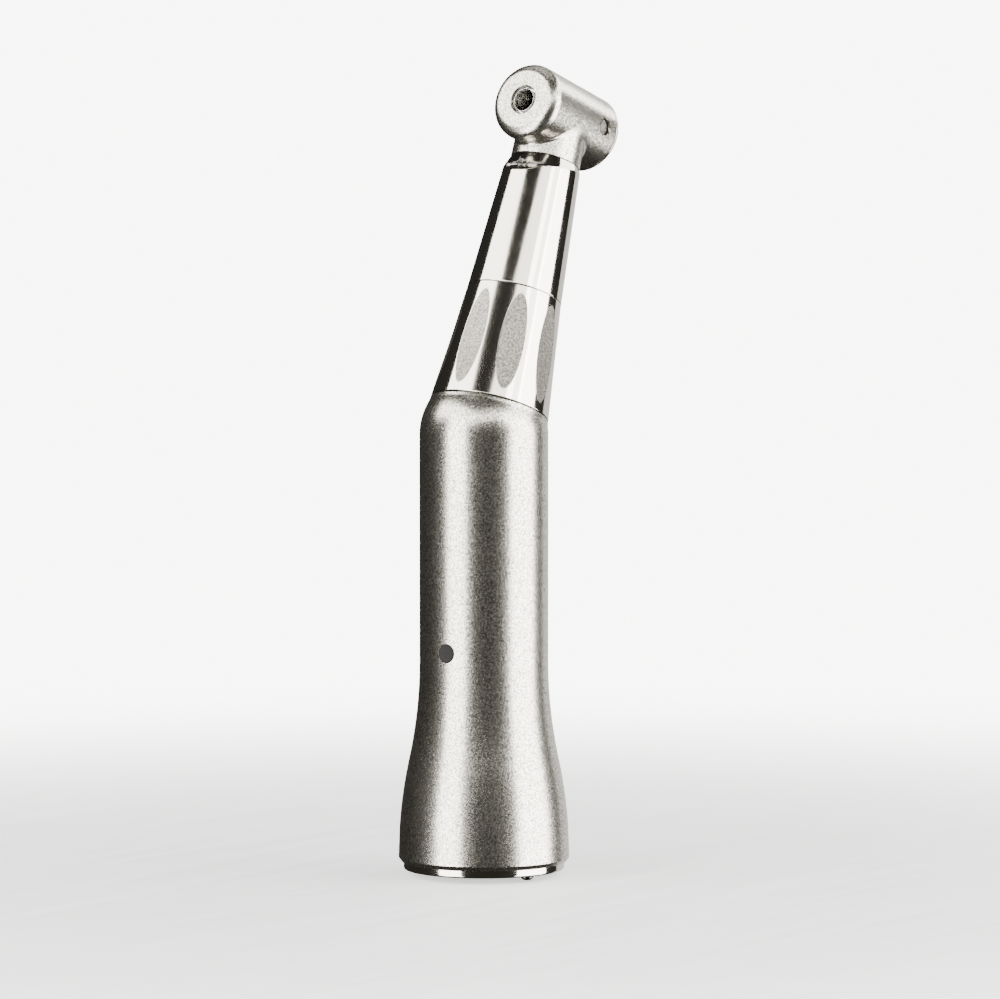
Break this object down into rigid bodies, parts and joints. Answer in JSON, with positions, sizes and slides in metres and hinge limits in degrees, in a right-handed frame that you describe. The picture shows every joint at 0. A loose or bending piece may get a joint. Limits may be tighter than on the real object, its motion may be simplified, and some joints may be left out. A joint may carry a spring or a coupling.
{
  "type": "dental contra-angle handpiece",
  "caption": "Bent dental handpiece with a flared handle, polished neck with oval grips, geared shafts on ball bearings, and a push-button bur head.",
  "frame": {"origin": "centre of the motor socket's mouth, on the rear axis in the plane of the rear face", "axes": "+Z along the rear axis from the motor to the bend; the neck leans towards +X and the bur points towards -X"},
  "size_m": [0.0325, 0.02, 0.0946],
  "materials": {
    "satin_steel": "bead-blasted stainless steel, fine satin",
    "polished_steel": "polished stainless steel, with bead-blasted grips on the nut",
    "dot_enamel": "dark grey enamel",
    "dark_pin": "blackened steel",
    "button_steel": "fine satin steel",
    "sleeve_steel": "turned stainless steel",
    "spring_steel": "spring steel",
    "seal_rubber": "black rubber",
    "gear_steel": "hardened steel with a straw-coloured coating",
    "shaft_steel": "ground steel",
    "spindle_steel": "ground stainless steel",
    "race_steel": "ground bearing steel",
    "ball_cage": "bearing balls in a machined cage",
    "tube_steel": "drawn stainless tube",
    "spray_steel": "polished stainless steel"
  },
  "bodies": {
    "handle": {"rear_sheath": "satin_steel", "ratio_dot": "dot_enamel", "rear_ring": "polished_steel", "locating_pin": "dark_pin", "coupling_sleeve": "sleeve_steel", "snap_ring": "spring_steel", "sleeve_o_ring": "seal_rubber", "bearing_cartridge": "sleeve_steel", "rear_bearing_a_outer": "race_steel", "rear_bearing_b_outer": "race_steel", "rear_spacer": "sleeve_steel", "rear_circlip": "spring_steel", "water_tube": "tube_steel", "air_tube": "tube_steel", "neck_sleeve": "polished_steel", "neck_o_ring": "seal_rubber", "spray_insert": "spray_steel", "front_bearing_a_outer": "race_steel", "front_bearing_b_outer": "race_steel", "head_housing": "satin_steel", "lower_bearing_outer": "race_steel", "upper_bearing_outer": "race_steel", "head_cap": "polished_steel", "spring_seat": "spring_steel", "button_spring": "spring_steel"},
    "rear_shaft": {"drive_dog": "shaft_steel", "drive_shaft": "shaft_steel", "drive_gear": "gear_steel", "rear_bearing_a_inner": "race_steel", "rear_bearing_b_inner": "race_steel"},
    "rear_cage_a": {"rear_bearing_a_balls": "ball_cage"},
    "rear_cage_b": {"rear_bearing_b_balls": "ball_cage"},
    "neck_shaft": {"front_gear": "gear_steel", "front_shaft": "shaft_steel", "head_pinion": "gear_steel", "front_bearing_a_inner": "race_steel", "front_bearing_b_inner": "race_steel", "front_spacer": "sleeve_steel"},
    "front_cage_a": {"front_bearing_a_balls": "ball_cage"},
    "front_cage_b": {"front_bearing_b_balls": "ball_cage"},
    "bur_spindle": {"spindle": "spindle_steel", "spindle_gear": "gear_steel", "lower_bearing_inner": "race_steel", "upper_bearing_inner": "race_steel"},
    "lower_cage": {"lower_bearing_balls": "ball_cage"},
    "upper_cage": {"upper_bearing_balls": "ball_cage"},
    "latch": {"chuck_latch": "shaft_steel"},
    "nut": {"union_nut": "polished_steel"},
    "button": {"push_button": "button_steel"}
  },
  "joints": [
    {"name": "drive_spin", "type": "hinge", "parent": "handle", "child": "rear_shaft", "pos_m": [0, 0, 0.021], "axis": [0, 0, 1], "continuous": true},
    {"name": "rear_cage_a_spin", "type": "hinge", "parent": "handle", "child": "rear_cage_a", "pos_m": [0, 0, 0.031], "axis": [0, 0, 1], "continuous": true},
    {"name": "rear_cage_b_spin", "type": "hinge", "parent": "handle", "child": "rear_cage_b", "pos_m": [0, 0, 0.043], "axis": [0, 0, 1], "continuous": true},
    {"name": "neck_spin", "type": "hinge", "parent": "handle", "child": "neck_shaft", "pos_m": [0, 0, 0.0509], "axis": [0.3584, 0, 0.9336], "continuous": true},
    {"name": "front_cage_a_spin", "type": "hinge", "parent": "handle", "child": "front_cage_a", "pos_m": [0.00197, 0, 0.05604], "axis": [0.3584, 0, 0.9336], "continuous": true},
    {"name": "front_cage_b_spin", "type": "hinge", "parent": "handle", "child": "front_cage_b", "pos_m": [0.01147, 0, 0.08077], "axis": [0.3584, 0, 0.9336], "continuous": true},
    {"name": "spindle_spin", "type": "hinge", "parent": "handle", "child": "bur_spindle", "pos_m": [0.01426, 0, 0.08806], "axis": [0.9563, 0, -0.2924], "continuous": true},
    {"name": "lower_cage_spin", "type": "hinge", "parent": "handle", "child": "lower_cage", "pos_m": [0.00977, 0, 0.08943], "axis": [0.9563, 0, -0.2924], "continuous": true},
    {"name": "upper_cage_spin", "type": "hinge", "parent": "handle", "child": "upper_cage", "pos_m": [0.01857, 0, 0.08674], "axis": [0.9563, 0, -0.2924], "continuous": true},
    {"name": "button_press", "type": "slide", "parent": "handle", "child": "button", "axis": [-0.9563, 0, 0.2924], "range_m": [0, 0.0005], "stiffness_N_per_m": 4000, "springref_m": -0.0005, "deforming": ["button_spring"]},
    {"name": "latch_slide", "type": "slide", "parent": "bur_spindle", "child": "latch", "axis": [-0.2924, 0, -0.9563], "range_m": [0, 0.00045]},
    {"name": "nut_turn", "type": "hinge", "parent": "handle", "child": "nut", "pos_m": [0, 0, 0.0509], "axis": [0.3584, 0, 0.9336], "range_deg": [0, 1080]}
  ],
  "couplings": [
    {"joint": "neck_spin", "follows": "drive_spin", "ratio": 1},
    {"joint": "spindle_spin", "follows": "drive_spin", "ratio": 1},
    {"joint": "rear_cage_a_spin", "follows": "drive_spin", "ratio": 0.35682},
    {"joint": "rear_cage_b_spin", "follows": "drive_spin", "ratio": 0.35682},
    {"joint": "front_cage_a_spin", "follows": "drive_spin", "ratio": 0.395},
    {"joint": "front_cage_b_spin", "follows": "drive_spin", "ratio": 0.395},
    {"joint": "lower_cage_spin", "follows": "drive_spin", "ratio": 0.395},
    {"joint": "upper_cage_spin", "follows": "drive_spin", "ratio": 0.395},
    {"joint": "latch_slide", "follows": "button_press", "ratio": 0.6}
  ]
}
